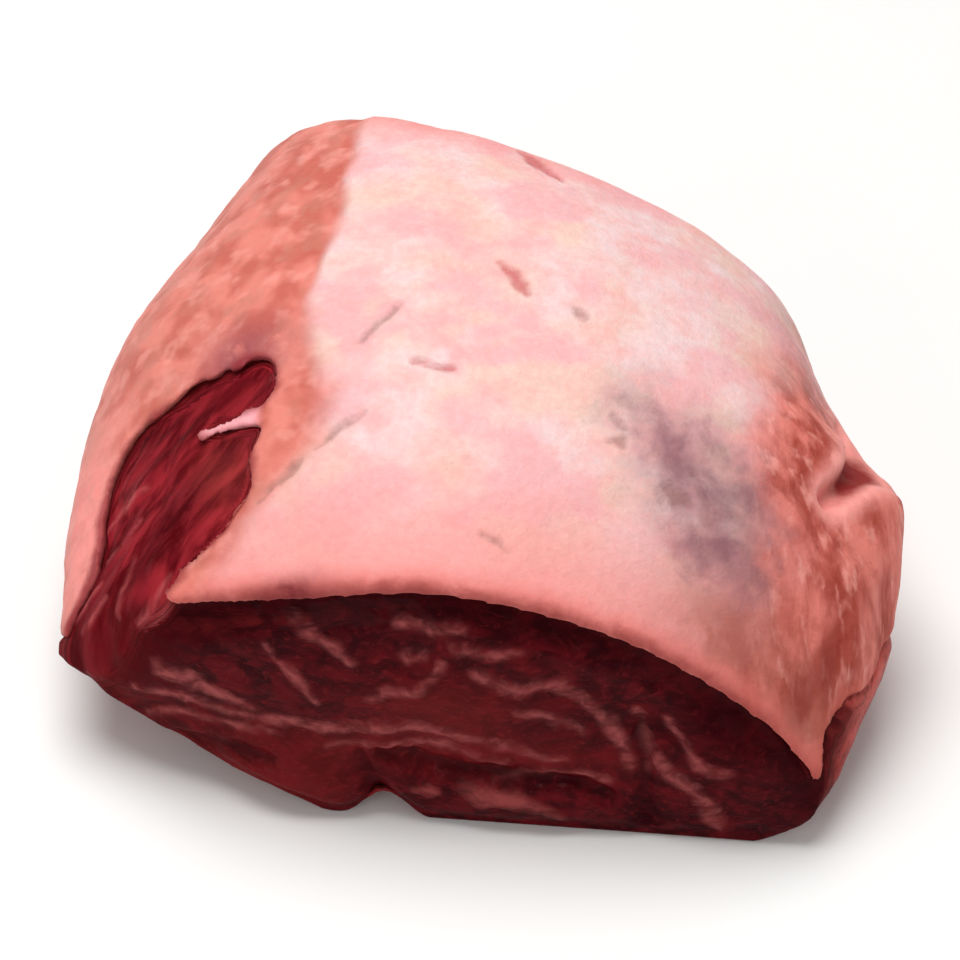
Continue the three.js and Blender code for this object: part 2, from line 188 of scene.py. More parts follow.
# The bare muscle in the gap: its middle, the ways along and across its fibres, and the
# strands on it, in mm along and across.
GAP_CENTRE = (-61, -34, 53)
GAP_ALONG, GAP_ACROSS = (0.557, 0.586, 0.589), (-0.572, 0.785, -0.24)
GAP_STRANDS = [
    [((-1.5, 7.5), 0.2), ((-4.5, 9.4), 0.5), ((-8.5, 11), 0.6), ((-13, 12.6), 0.5)],
    [((-12.5, -13.6), 0.1), ((-15, -13.4), 0.4), ((-19, -12.6), 0.5), ((-24, -9.6), 0.2)],
    [((-15, -16), 0.1), ((-19, -14.8), 0.3), ((-24, -12), 0.1)],
    [((-23.5, -0.4), 0.1), ((-28.5, 1.4), 0.4), ((-32, 3.4), 0.1)],
    [((-22, 3.6), 0.1), ((-27, 5), 0.3), ((-31, 7), 0.1)],
    [((-7, 3), 0.1), ((-13.5, 4.1), 0.25), ((-18, 5.1), 0.1)],
    [((-14, -2), 0.1), ((-19, -4), 0.25), ((-25, -5), 0.1)],
]
GAP_STRAND_RISE = 0.15
FIBRE_DRAW = 0.3  # shrinks places along the fibres, which draws the pattern out

# The rounding of the left corner.
CORNER_ROUNDS, CORNER_ROUND_Z = 60, (14, 22)

# Fat so thin that the muscle shows through, low on the right side.
THIN_STREAK = [
    ((69, -58, 37), 1.6), ((65, -63.6, 34.6), 3), ((62, -67, 32.8), 2.6), ((61, -71.5, 28.5), 1),
]

# Nicks, scratches and folds on top of the cap, in x and y, with half widths.
RED_NICKS = [
    [((4, 5), 0.2), ((6.4, 2.4), 0.8), ((8.2, -0.6), 1.3), ((9.4, -3), 0.4)],
    [((9, 45.4), 0.4), ((11.6, 42.4), 1.5), ((14.6, 37.4), 1), ((17, 35.4), 0.2)],
    [((-12.4, -20.6), 0.1), ((-8.6, -22), 0.4), ((-5, -23), 0.1)],
]
GREY_SCRATCHES = [
    [((-23.4, -14.4), 0.4), ((-20, -10.4), 0.8), ((-15.6, -5.8), 0.4)],
    [((-31, -37.4), 0.1), ((-27, -34.6), 0.5), ((-22, -31.6), 0.1)],
    [((-42.6, -45), 0.1), ((-38.6, -42), 0.5), ((-34.8, -39.4), 0.1)],
    [((0, -57.6), 0.1), ((2.6, -58.8), 0.5), ((5.4, -59.8), 0.1)],
    [((24, -36.6), 0.4), ((26.4, -37.2), 0.8), ((27.4, -36), 0.4)],
    [((26, -31.4), 0.5), ((27.2, -32.8), 0.8)],
    [((35, -44.2), 0.5), ((37, -45), 1.2), ((39.4, -45.6), 0.5)],
    [((18.4, -6.6), 0.5), ((19.8, -7.6), 0.7)],
]
NICK_DEPTH, MARKS_ABOVE_Z = 0.5, 54
BRUISE_CHAIN = [((31, -28), 4), ((40, -38), 9), ((46, -48), 11), ((47, -57), 6)]
BRUISE_CORES = [
    [((34, -33), 1), ((38, -39), 3.4), ((38.5, -44), 1.6)],
    [((50, -38), 1.6), ((52, -42), 2)],
    [((43.5, -43), 1.6), ((45, -50), 1), ((49, -56.5), 2.6)],
    [((40, -53), 0.8), ((41.6, -56), 1.4)],
]

# Soft spots, each with its middle, size and strength. On the cap: a dark stain past the
# upper end of the gap, browner fat in two places, a red patch where the fat thins out at
# the front, and the pink strip left of the gap.
STAIN = [((-47, -10, 67), (10, 8, 8), 1)]
BROWN_PATCHES = [((44, -66, 44), (14, 9, 10), 1), ((60, -72, 28), (9, 9, 11), 1)]
FRONT_PATCH = [((-37, -64.5, 55), (9, 2.6, 6), 1)]
STRIP = [((-79, -30, 38), (9, 26, 14), 1)]

# On the cuts, in x and z: redder lobes, and painted shade over the right end of the front cut.
FRONT_LOBES = [((-42, 8), (17, 10), 1), ((-4, 19), (34, 5), 0.7), ((-6, 31), (17, 8), 0.7)]
BACK_LOBES = [((-26, 48), (18, 12), 1), ((26, 24), (22, 10), 0.8)]
RIGHT_END_SHADE = [((50, 30), (16, 14), 0.8)]
# The shade on the front cut, in mm below its upper edge, and the cut's rough half width.
RIM_SHADE, FACE_HALF_WIDTH = (2, 17), 74

# On the muscle: the dark left corner, its bright tip, the dark end and the bright middle of
# the gap, and fat smeared low on the right side.
CORNER = [((-72, -56, 30), (12, 12, 12), 1)]
CORNER_TIP = [((-77, -64, 20), (6, 6, 5), 1)]
GAP_END = [((-50, -17, 65), (8, 6, 7), 0.6)]
GLOW = [((-50, -35, 59), (6, 7, 6), 1)]
SMEAR = [((76, -46, 20), (14, 26, 10), 1)]

# How much the rosy band along the back edge narrows for each mm to the right of an x.
ROSY_BACK_NARROWING, ROSY_BACK_FROM_X = 0.15, -20

# The line where the thick pale cap meets the thinner, redder fat of the left side.
RIDGE_STEPS_Y = [-75, -60, -52, -47, -42, -36, -25, -15, 0, 24, 60, 90]
RIDGE_X = [-63, -53, -47, -44, -38, -31.5, -29.5, -32.5, -34, -28.7, -24.4, -23]
RIDGE_STEP, RIDGE_FADE = 0.9, 12
RIDGE_BLUR, RIDGE_BLUR_Y = (5, 2), (-35, 5)  # softer at the front than at the back
RIGHT_FLANK_STEPS_Y = [-80, -60, -40, -10, 30, 70]
RIGHT_FLANK_X = [45, 50, 51.5, 57, 63, 62]
RIGHT_FLANK_WANE, RIGHT_FLANK_WANE_Y = 0.55, (-14, 8)  # lost toward the back

# ---- Colours, as a screen has them, from 0 to 255 ----

PALE_FAT = (233, 205, 204)
CREAM_FAT = (233, 199, 186)
ROSY_FAT = (234, 178, 182)
PINK_FAT = (236, 172, 166)
FRONT_FAT = (238, 153, 148)
BACK_FAT_EDGE = (236, 142, 136)
RED_SPECKS = (206, 112, 104)
DEEP_SALMON = (196, 102, 89)
SALMON = (225, 134, 121)
PALE_SALMON = (236, 158, 146)
TAN_FAT = (196, 124, 108)
STRIP_PINK = (250, 152, 146)
RUSTY_FAT = (162, 66, 54)
RUDDY_FAT = (228, 130, 118)
STREAK_PINK = (246, 168, 156)
BROWN_RED = (180, 84, 70)
BRUISE = (150, 106, 108)
BRUISE_CORE = (122, 74, 90)
BROWN_FAT = (170, 95, 82)
MAUVE_STAIN = (140, 66, 78)
THIN_FAT = (144, 54, 44)
FOLD_RIM = (246, 164, 156)
# Painted shade deep in the crevice under the fold.
FOLD_CREVICE_SHADE = (128, 22, 20)
TONGUE_PINK = (250, 174, 182)
PATCH_RED = (110, 26, 34)
NICK_RED = (190, 84, 86)
SCRATCH_GREY = (150, 104, 98)

DEEP_MUSCLE = (50, 3, 8)
CUT_MUSCLE = (92, 12, 20)
DEEP_BARE = (84, 4, 12)
BARE_MUSCLE = (154, 36, 46)
BARE_GLOW = (176, 60, 58)
DEEP_SIDE = (98, 12, 18)
SIDE_MUSCLE = (160, 46, 46)
SMEARED_FAT = (236, 116, 106)
DARK_PATCH = (46, 2, 8)
LOBE_RED = (122, 28, 30)
FLECKS = (134, 38, 42)
SHADED_MUSCLE = (44, 1, 5)
CORNER_RED = (88, 4, 12)
CORNER_TIP_RED = (170, 50, 40)
SILVERSKIN = (158, 76, 76)
STRAND_PINK = (200, 94, 96)
FAT_IN_CUT = (160, 74, 72)
# Painted shade for the clefts between the muscles.
CLEFT_SHADE = (34, 2, 6)

FLOOR_LIGHT = (246, 245, 243)
FLOOR_DARK = (240, 239, 236)

# Tints along the cap's edges, where thin fat turns redder, with painted shade in the dark band along the
# front lip: the distance they follow, their reach in mm, share and colour.
EDGE_TINTS_AND_LIP_SHADE = [
    ("from_front", 5.5, 0.8, (220, 114, 106)),
    ("from_edge", 5.0, 0.8, (196, 92, 80)),
    ("from_gap", 2.6, 0.85, (138, 42, 50)),
    # Partly painted shade: the dark band along the front lip.
    ("from_front", 2.4, 0.8, (140, 52, 50)),
    ("from_edge", 1.4, 0.8, (116, 36, 34)),
]

# ---- Mesh fineness ----

OUTLINE_STRETCHES = [(100, 190), (180, 170), (360, 130)]  # degrees, steps
SIDE_STEPS = 110
SIDE_CROWDING = 1.35
FACE_RINGS = 84
BACK_RINGS = 44
ROUNDING_STEPS = 6

# ---- Camera, light and floor ----

CAMERA_ELEVATION = 42
CAMERA_TARGET = (0, -9.5, 34)
CAMERA_DISTANCE = 600
CAMERA_LENS, SENSOR_WIDTH = 110, 36
# Lamps, in metres and watts: place, width and power.
LAMPS = {
    "key": ((-0.12, 0.12, 1.0), 0.75, 9.0),
    "fill": ((0.7, -0.8, 0.6), 0.8, 1.2),
    "front": ((-0.5, -0.85, 0.5), 0.6, 1.9),
}
LAMP_AIM = (0, 0, 0.04)
SKY_STRENGTH = 0.33
FLOOR_REACH = 3000  # mm from the middle


# ---- Plain mathematics, on arrays ----

def smoothstep(x, low, high):
    share = np.clip((x - low) / (high - low), 0, 1)
    return share * share * (3 - 2 * share)


def mix(a, b, share):
    return a + (b - a) * share


def columns(*parts):
    """Arrays and plain numbers side by side, as the columns of one array."""
    return np.stack(np.broadcast_arrays(*parts), -1)


def along_loft(values, t):
    """A smooth curve through evenly spaced values; t runs from 0 to 1."""
    values = np.asarray(values, float)
    ends = [2 * values[0] - values[1]], [2 * values[-1] - values[-2]]
    padded = np.concatenate([ends[0], values, ends[1]])
    span = np.clip(t, 0, 1) * (len(values) - 1)
    i = np.minimum(span.astype(int), len(values) - 2)
    f = span - i
    before, here, after, beyond = (padded[i + k] for k in range(4))
    cubic = 3 * here - before - 3 * after + beyond
    square = 2 * before - 5 * here + 4 * after - beyond
    return 0.5 * (2 * here + (after - before) * f + square * f ** 2 + cubic * f ** 3)


def lumps(p, size):
    """Smooth unevenness between -1 and 1, in lumps about `size` across."""
    x, y, z = (p * (math.pi / size)).T
    across = np.sin(x + 0.6 * y + 1.7 * np.sin(0.5 * z))
    along = np.sin(y - 0.5 * z + 1.3 * np.sin(0.6 * x) + 2.1)
    upward = np.sin(z + 0.4 * x + 1.1 * np.sin(0.7 * y) + 4.2)
    return (across + along + upward) / 3


def lattice_values(cell, seed):
    """A repeatable random value from -1 to 1 for each whole-numbered cell."""
    words = cell.astype(np.int64).astype(np.uint32)
    mixed = words[..., 0] * np.uint32(374761393) + words[..., 1] * np.uint32(668265263)
    mixed = mixed + words[..., 2] * np.uint32(3266489917) + np.uint32(seed * 974711)
    mixed = (mixed ^ (mixed >> np.uint32(15))) * np.uint32(2246822519)
    mixed = (mixed ^ (mixed >> np.uint32(13))) * np.uint32(3266489917)
    return (mixed ^ (mixed >> np.uint32(16))) / 2.0 ** 31 - 1


def noise(p, size, seed=0):
    """Smooth random values from about -1 to 1, in spots about `size` across."""
    scaled = p / size
    low = np.floor(scaled)
    share = smoothstep(scaled - low, 0, 1)
    total = 0
    for corner in np.ndindex(2, 2, 2):
        corner = np.array(corner)
        weight = np.where(corner == 1, share, 1 - share).prod(-1)
        total = total + weight * lattice_values(low + corner, seed)
    return total


def fractal(p, size, seed=0, octaves=3):
    """Several sizes of noise on top of each other, each half the last."""
    layers = [noise(p, size / 2 ** k, seed + k) / 2 ** k for k in range(octaves)]
    return sum(layers) / sum(0.5 ** k for k in range(octaves))


def humps(p, spots):
    """Smooth humps, each with its middle, size and height."""
    return sum(height * np.exp(-(((p - np.array(at)) / np.array(size)) ** 2).sum(-1))
               for at, size, height in spots)


def chain_distance(p, chain):
    """Distance to a chain of (point, radius) balls or discs, negative inside."""
    nearest = np.full(len(p), np.inf)
    for (start, near), (end, far) in zip(chain[:-1], chain[1:]):
        start, line = np.array(start, float), np.subtract(end, start)
        share = np.clip((p - start) @ line / (line @ line), 0, 1)
        away = np.linalg.norm(p - start - share[:, None] * line, axis=-1)
        nearest = np.minimum(nearest, away - mix(near, far, share))
    return nearest


def nearest_chain(p, chains):
    return np.minimum.reduce([chain_distance(p, chain) for chain in chains])


# ---- The form of the roast, as in the solids ----

def front_y(x, z):
    past = np.maximum(CORNER_FROM - x, 0) / CORNER_WIDTH
    return FRONT_AT + FRONT_YAW * x + FRONT_LEAN * z + CORNER_SET_BACK * past ** 1.3


def back_y(x, z):
    return BACK_AT + BACK_YAW * x + BACK_LEAN * z


def section_points(angle, t):
    """Points of the cross-sections, from the right over the top to the left."""
    on_right, on_top = np.cos(angle) >= 0, np.sin(angle) >= 0
    belly = np.where(on_right, along_loft(RIGHT_BELLY, t), along_loft(LEFT_BELLY, t))
    right, left = along_loft(RIGHT_REACH, t), -along_loft(LEFT_REACH, t)
    side = np.where(on_right, right, left) - CROWN_X
    rise = np.where(on_top, along_loft(CROWN, t) - belly, -belly - BASE_DROP)
    heel = np.where(on_right, RIGHT_HEEL_FULLNESS, along_loft(LEFT_HEEL_FULLNESS, t))
    power = 2 / np.where(on_top, along_loft(CROWN_FULLNESS, t), heel)
    x = CROWN_X + side * np.abs(np.cos(angle)) ** power
    z = belly + rise * np.abs(np.sin(angle)) ** power
    return columns(x, np.maximum(z, 0))


def core_points(x, t):
    left = CORE_INSET - along_loft(LEFT_REACH, t)
    right = along_loft(RIGHT_REACH, t) - CORE_INSET
    return columns(np.clip(x, left, right), CORE_HEIGHT * along_loft(CROWN, t))


def in_space(flat, t):
    x, z = flat.T
    return columns(x, mix(front_y(x, z), back_y(x, z), t), z)


def gap_distance(p):
    return np.maximum(chain_distance(p, GAP_CHAIN), -chain_distance(p, TONGUE_CHAIN))


def cap_edge_height(p):
    """How far above the cap's lower edge a point lies."""
    right = np.interp(p[:, 1], EDGE_STEPS_Y, RIGHT_EDGE_Z)
    left = np.interp(p[:, 1], EDGE_STEPS_Y, LEFT_EDGE_Z)
    drift = 1.2 * np.sin(p[:, 1] / EDGE_WAVE_DRIFT)
    wave = EDGE_WAVE * np.sin(p[:, 1] / EDGE_WAVE_STEP + drift)
    return p[:, 2] - np.where(p[:, 0] > CROWN_X, right, left) - wave


def coverage(p):
    """1 where fat covers the muscle, 0 where it doesn't."""
    above = smoothstep(cap_edge_height(p), -COVER_BLEND, COVER_BLEND)
    return above * smoothstep(gap_distance(p), -COVER_BLEND, COVER_BLEND)


def fat_thickness(p, t):
    thick = mix(FAT_AT_FRONT, FAT_THICK, smoothstep(t, 0, FAT_THICKENS_BY))
    above_sides = smoothstep(p[:, 2], *FAT_RIM_Z)
    away = smoothstep(gap_distance(p), 0, FAT_GAP_REACH)
    return mix(FAT_AT_GAP, mix(FAT_AT_RIM, thick, above_sides), away)


def surface_relief(p):
    """How far the surface stands out from the plain loft."""
    forms = humps(p, FLAP) + humps(p, HOLLOWS)
    away = chain_distance(p, CREVICE_CHAIN)
    crevice = -CREVICE_DEPTH * (1 - smoothstep(away, -1, CREVICE_BLEND))
    on_right = smoothstep(p[:, 0], RIGHT_LUMPS_FROM, RIGHT_LUMPS_TO)
    rough = RIGHT_LUMPS_RISE * on_right * lumps(p, RIGHT_LUMPS_SIZE)
    uneven = UNEVEN_RISE * lumps(p, UNEVEN_SIZE)
    return (forms + crevice + rough + uneven) * smoothstep(p[:, 2], 0, RELIEF_FULL_Z)


def muscle_depth(p, t):
    bare = np.where(gap_distance(p) < GAP_RECESS_REACH, GAP_RECESS, 0)
    return mix(bare, fat_thickness(p, t), coverage(p))


def points_at_depth(angle, t, inset, shrink, depth_at):
    """Points at some depth under the outline; shrink below 1 fills the cuts."""
    flat = section_points(angle, t)
    outline = in_space(flat, np.clip(t, 0, 1))
    depth = depth_at(outline, t) + inset - surface_relief(outline)
    inward = core_points(flat[:, 0], t) - flat
    inward /= np.linalg.norm(inward, axis=-1, keepdims=True)
    sunk = flat + inward * depth[:, None]
    middle = core_points(np.full(len(t), CROWN_X), t)
    return in_space(mix(middle, sunk, shrink[:, None]), t)


def front_relief(p, shrink):
    """How far the front cut of the muscle stands forward."""
    swells = humps(p[:, [0, 2]], FACE_SWELLS)
    near_rim = smoothstep(shrink, UNDERCUT_INSIDE, 1)
    under_cap = smoothstep(p[:, 2], UNDERCUT_BELOW_Z, UNDERCUT_ABOVE_Z)
    inside = 1 - smoothstep(shrink, SWELLS_INSIDE, 1)
    return swells * inside - UNDERCUT_DEPTH * near_rim * under_cap


def lift_over_cleft(p):
    across = np.clip(np.abs(p[:, 0] - CLEFT_X) / CLEFT_HALF_WIDTH, 0, 1)
    behind = (p[:, 1] - front_y(p[:, 0], p[:, 2])) / CLEFT_LENGTH
    height = CLEFT_HEIGHT * np.cos(across * math.pi / 2) ** 2 * (1 - smoothstep(behind, 0, 1))
    return height * np.clip(1 - p[:, 2] / CLEFT_REACH_Z, 0, 1)


# ---- Fine relief ----

def groove(distance, width):
    """1 inside a line, fading to 0 at `width` outside it."""
    return 1 - smoothstep(distance, -0.2, width)


def wander(p):
    """The place on a cut in x and z, bent so that lines drawn there run unevenly."""
    shift = [1.3 * noise(p, 6, seed) + 0.5 * noise(p, 2, seed + 1) for seed in (11, 15)]
    return p[:, [0, 2]] + columns(*shift)


def uneven_lines(p, flat, lines, uneven=1):
    """Distance to lines whose width swells and shrinks along their way."""
    swell = 0.5 * noise(p, 3.4, 19) + 0.3 * noise(p, 1.3, 20)
    return nearest_chain(flat, lines) - uneven * swell


def strand_distance(p):
    """Distance to the fine strands in the gap, which waver a little."""
    shift = [0.3 * noise(p, 4, seed) for seed in (37, 38)]
    return uneven_lines(p, gap_plane(p) + columns(*shift), GAP_STRANDS, 0.35)


def cut_detail(p):
    """Bundles of fibres on a cut, in mm outward."""
    coarse = 0.5 * noise(p * (0.7, 0.5, 1.1), 8, 25)
    return coarse + 0.26 * fractal(p * (0.8, 0.4, 1.1), 3, 21, 3)


def face_detail(p, lines, fat, clefts):
    """Seams, fat and clefts on a cut, in mm outward."""
    bent = wander(p)
    seams = FACE_LINE_RISE * groove(uneven_lines(p, bent, lines), 0.9)
    lumps_of_fat = FACE_FAT_RISE * groove(uneven_lines(p, bent, fat), 1.4)
    return seams + lumps_of_fat - FACE_CLEFT_DEPTH * groove(uneven_lines(p, bent, clefts), 2)


def gap_plane(p):
    """Distances along and across the fibres of the bare muscle in the gap."""
    away = p - np.array(GAP_CENTRE)
    return columns(away @ GAP_ALONG, away @ GAP_ACROSS)


def fibre_space(p):
    """Places in the gap, drawn out along the fibres."""
    plane = gap_plane(p)
    across = plane[:, 1] + 1.2 * noise(p, 9, 33)
    return columns(plane[:, 0] * FIBRE_DRAW, across, 0)


def gap_detail(p):
    """Fibre bundles and strands of the bare muscle in the gap, in mm outward."""
    fibres = fibre_space(p)
    bundles = 0.45 * noise(fibres, 3, 31) + 0.15 * noise(fibres, 1.3, 32) + 0.4 * fractal(p, 5, 35, 3)
    return bundles + GAP_STRAND_RISE * groove(strand_distance(p), 0.7)


def cap_detail(p):
    """Unevenness, wrinkles and nicks of the fat cap, in mm outward."""
    soft = 0.3 * noise(p, 11, 41) + 0.16 * fractal(p, 4.2, 43, 3)
    wrinkles = 0.6 * fractal(streak_space(p), 6.5, 51, 2) * right_flank(p)
    left = left_flank(p)
    pits = 0.2 * fractal(p, 4, 55, 2) * left
    cuts = NICK_DEPTH * groove(mark_distance(p, RED_NICKS + GREY_SCRATCHES), 1)
    step = RIDGE_STEP * left * np.exp(-np.maximum(ridge_distance(p), 0) / RIDGE_FADE)
    return soft + wrinkles + pits - cuts - step


def streak_space(p):
    """Places on the right side, drawn out along the streaks of its fat."""
    along = 0.3 * (0.6 * p[:, 1] + 0.8 * p[:, 2])
    return columns(p[:, 0], along, 0.8 * p[:, 1] - 0.6 * p[:, 2])


def mark_distance(p, marks):
    """Distance to marks on top of the cap, which are drawn in x and y."""
    shift = [0.7 * noise(p, 2.6, seed) for seed in (57, 58)]
    away = uneven_lines(p, p[:, :2] + columns(*shift), marks)
    return np.where(p[:, 2] > MARKS_ABOVE_Z, away, FAR)


def ridge_distance(p):
    """How far left of the ridge a point lies."""
    return np.interp(p[:, 1], RIDGE_STEPS_Y, RIDGE_X) + 1.6 * noise(p, 9, 61) - p[:, 0]


def left_flank(p):
    blur = mix(*RIDGE_BLUR, smoothstep(p[:, 1], *RIDGE_BLUR_Y))
    return smoothstep(ridge_distance(p) / blur, -1, 1)


def right_flank(p):
    border = np.interp(p[:, 1], RIGHT_FLANK_STEPS_Y, RIGHT_FLANK_X) + 4 * noise(p, 9, 63)
    wane = RIGHT_FLANK_WANE * smoothstep(p[:, 1], *RIGHT_FLANK_WANE_Y)
    return smoothstep(p[:, 0] - border, -7, 7) * (1 - wane)


# ---- From form to meshes ----

def outline_angles():
    angles, start = [], 0
    for end, steps in OUTLINE_STRETCHES:
        angles.append(np.linspace(start, end, steps, endpoint=False))
        start = end
    return np.radians(np.concatenate(angles))


def rounding_rings(radius, at_back):
    turn = np.linspace(0, math.pi / 2, ROUNDING_STEPS, endpoint=False)
    away = radius * (1 - np.cos(turn)) / CUT_SPACING
    rings = columns(1 - away if at_back else away, radius * (1 - np.sin(turn)), 1)
    return rings[::-1] if at_back else rings


def cut_rings(t, inset, count):
    shrink = (np.arange(1, count) / count) ** 0.85
    rings = columns(t, inset, shrink)
    return rings[::-1] if t > 0.5 else rings


def side_rings():
    share = np.linspace(0, 1, SIDE_STEPS + 1) ** SIDE_CROWDING
    t = mix(FRONT_LIP / CUT_SPACING, 1 - BACK_ROLL / CUT_SPACING, share)
    return columns(t, 0, 1)


def rounded_rings(front_radius, back_radius):
    """Rings of a closed form, as rows of t, inset and shrink."""
    return np.concatenate([
        cut_rings(0, front_radius, FACE_RINGS),
        rounding_rings(front_radius, False),
        side_rings(),
        rounding_rings(back_radius, True),
        cut_rings(1, back_radius, BACK_RINGS),
    ])


def cutter_rings():
    """Rings of the cutter, which runs straight on past both cuts."""
    past = 4 / CUT_SPACING
    front = [[-past, 0, 0.5], [-past, 0, 1]]
    back = [[1 + past, 0, 1], [1 + past, 0, 0.5]]
    return np.concatenate([front, side_rings(), back])


def loft(rings, place):
    """Points and faces of a closed form with a ring of points for each row."""
    angles = outline_angles()
    count = len(angles)
    angle = np.tile(angles, len(rings))
    t, inset, shrink = np.repeat(rings, count, axis=0).T
    points = place(angle, t, inset, shrink)
    ends = [place(np.zeros(1), *row[:, None]) for row in
            (rings[0] * (1, 1, 0), rings[-1] * (1, 1, 0))]
    points = np.concatenate([points, *ends])
    front_pole, back_pole = len(points) - 2, len(points) - 1
    here = np.arange(count)
    beside = np.roll(here, -1)
    starts = count * np.arange(len(rings) - 1)[:, None]
    quads = columns(here + starts, here + starts + count, beside + starts + count, beside + starts)
    last = count * (len(rings) - 1)
    front = columns(front_pole, here, beside)
    back = columns(back_pole, last + beside, last + here)
    return points, quads.reshape(-1, 4).tolist() + front.tolist() + back.tolist()


def put_in_scene(name, data):
    thing = bpy.data.objects.new(name, data)
    bpy.context.scene.collection.objects.link(thing)
    return thing


def make_object(name, points, faces):
    mesh = bpy.data.meshes.new(name)
    mesh.from_pydata((points * MM).tolist(), [], faces)
    mesh.validate()
    return put_in_scene(name, mesh)


def read(piece, field):
    values = np.empty(len(piece.data.vertices) * 3)
    piece.data.vertices.foreach_get(field, values)
    return values.reshape(-1, 3)


def read_points(piece):
    return read(piece, "co") / MM


def write_points(piece, points):
    piece.data.vertices.foreach_set("co", (points * MM).ravel())
    piece.data.update()


def store(piece, **layers):
    """Keeps numbers, or triples, for each point of a piece, for its material."""
    for name, values in layers.items():
        kind, field = ("FLOAT", "value") if values.ndim == 1 else ("FLOAT_VECTOR", "vector")
        layer = piece.data.attributes.new(name, kind, "POINT")
        layer.data.foreach_set(field, np.ascontiguousarray(values, dtype=np.float32).ravel())


def shade_smooth(piece):
    piece.data.polygons.foreach_set("use_smooth", [True] * len(piece.data.polygons))


def apply_modifiers(piece):
    graph = bpy.context.evaluated_depsgraph_get()
    mesh = bpy.data.meshes.new_from_object(piece.evaluated_get(graph))
    old = piece.data
    piece.modifiers.clear()
    piece.data = mesh
    bpy.data.meshes.remove(old)


# ---- The muscle ----

def muscle_points(angle, t, inset, shrink):
    p = points_at_depth(angle, t, inset, shrink, muscle_depth)
    near_front = np.clip(1 - t / FACE_FADE, 0, 1)
    near_back = np.clip(1 - (1 - t) / FACE_FADE, 0, 1)
    p[:, 1] -= front_relief(p, shrink) * near_front
    on_back = 1 - smoothstep(shrink, BACK_UNEVEN_INSIDE, 1)
    p[:, 1] += BACK_UNEVEN_RISE * lumps(p, BACK_UNEVEN_SIZE) * near_back * on_back
    p[:, 2] += lift_over_cleft(p)
    return p


def round_corner(points, ring_count):
    """Rounds the edge where the gap runs into the front cut at the left."""
    grid = points[:-2].reshape(ring_count, -1, 3)
    bare = smoothstep(-gap_distance(points[:-2]), -3, 3)
    bare *= smoothstep(points[:-2, 2], *CORNER_ROUND_Z)
    share = bare.reshape(ring_count, -1, 1)[1:-1]
    for _ in range(CORNER_ROUNDS):
        beside = np.roll(grid, 1, 1) + np.roll(grid, -1, 1)
        mean = (grid[2:] + grid[:-2] + beside[1:-1]) / 4
        grid[1:-1] += share * (mean - grid[1:-1])
    points[:-2] = grid.reshape(-1, 3)


def make_muscle():
    rings = rounded_rings(FRONT_LIP / 2, BACK_ROLL / 3)
    points, faces = loft(rings, muscle_points)
    round_corner(points, len(rings))
    piece = make_object("lean_muscle", points, faces)
    shade_smooth(piece)
    normals = read(piece, "normal")
    in_gap = 1 - smoothstep(gap_distance(points), -1, 3)
    facing_front = smoothstep(-normals[:, 1], 0.5, 0.8) * (1 - in_gap)
    facing_back = smoothstep(normals[:, 1], 0.5, 0.8)
    cut = np.maximum(facing_front, facing_back)
    above_ground = smoothstep(points[:, 2], 0.5, 4)
    side = 0.35 * fractal(points * (0.4, 1, 1), 4, 71) * (1 - in_gap) * (1 - cut)
    front = face_detail(points, FACE_LINES, FACE_FAT, FACE_CLEFTS) * facing_front
    back = face_detail(points, BACK_LINES, BACK_FAT, BACK_CLEFTS) * facing_back
    rise = gap_detail(points) * in_gap + cut_detail(points) * cut + front + back + side
    write_points(piece, points + normals * (rise * above_ground)[:, None])
    paint_muscle(piece, points, in_gap, facing_front, facing_back)
    return piece


def on_cuts(points, front, back, front_lines, back_lines):
    """Distance to the lines of whichever cut a point lies on, or far away."""
    bent = wander(points)
    on_front = np.where(front > 0.2, uneven_lines(points, bent, front_lines), FAR)
    return np.where(back > 0.2, uneven_lines(points, bent, back_lines), on_front)


def paint_muscle(piece, points, in_gap, front, back):
    flat = points[:, [0, 2]]
    below_rim = section_top(points[:, 0]) - points[:, 2]
    under_rim = 1 - smoothstep(below_rim, *RIM_SHADE)
    cut = np.maximum(front, back)
    store(
        piece,
        silver=on_cuts(points, front, back, FACE_LINES, BACK_LINES),
        strand=np.where(in_gap > 0.3, strand_distance(points), FAR),
        fatty=on_cuts(points, front, back, FACE_FAT, BACK_FAT),
        # The clefts, which get a painted shade in the material.
        crevice=on_cuts(points, front, back, FACE_CLEFTS, BACK_CLEFTS),
        in_gap=in_gap,
        lobe=humps(flat, FRONT_LOBES) * front + humps(flat, BACK_LOBES) * back,
        # Painted shade under the cap's rim and over the right end of the front cut.
        shadow=np.maximum(under_rim, humps(flat, RIGHT_END_SHADE)) * front,
        corner=np.maximum(humps(points, CORNER), humps(points, GAP_END) * in_gap),
        corner_tip=humps(points, CORNER_TIP),
        glow=humps(points, GLOW),
        side=(1 - cut) * (1 - in_gap),
        smear=humps(points, SMEAR),
        grain_space=grain_space(points, cut, in_gap),
    )


def grain_space(points, cut, in_gap):
    """Places for the grain: drawn out front to back, flat on the cuts, along the gap's fibres."""
    bent = wander(points)
    on_cut = columns(0.75 * bent[:, 0], 0, 1.15 * bent[:, 1])
    space = mix(points * (1, 0.25, 1), on_cut, cut[:, None])
    return mix(space, fibre_space(points), in_gap[:, None])


def section_top(x):
    """Rough height of the front cut's upper edge over x."""
    across = (x - CROWN_X) / FACE_HALF_WIDTH
    return CROWN[0] * np.sqrt(np.clip(1 - across ** 2, 0, 1))


# ---- The fat cap ----

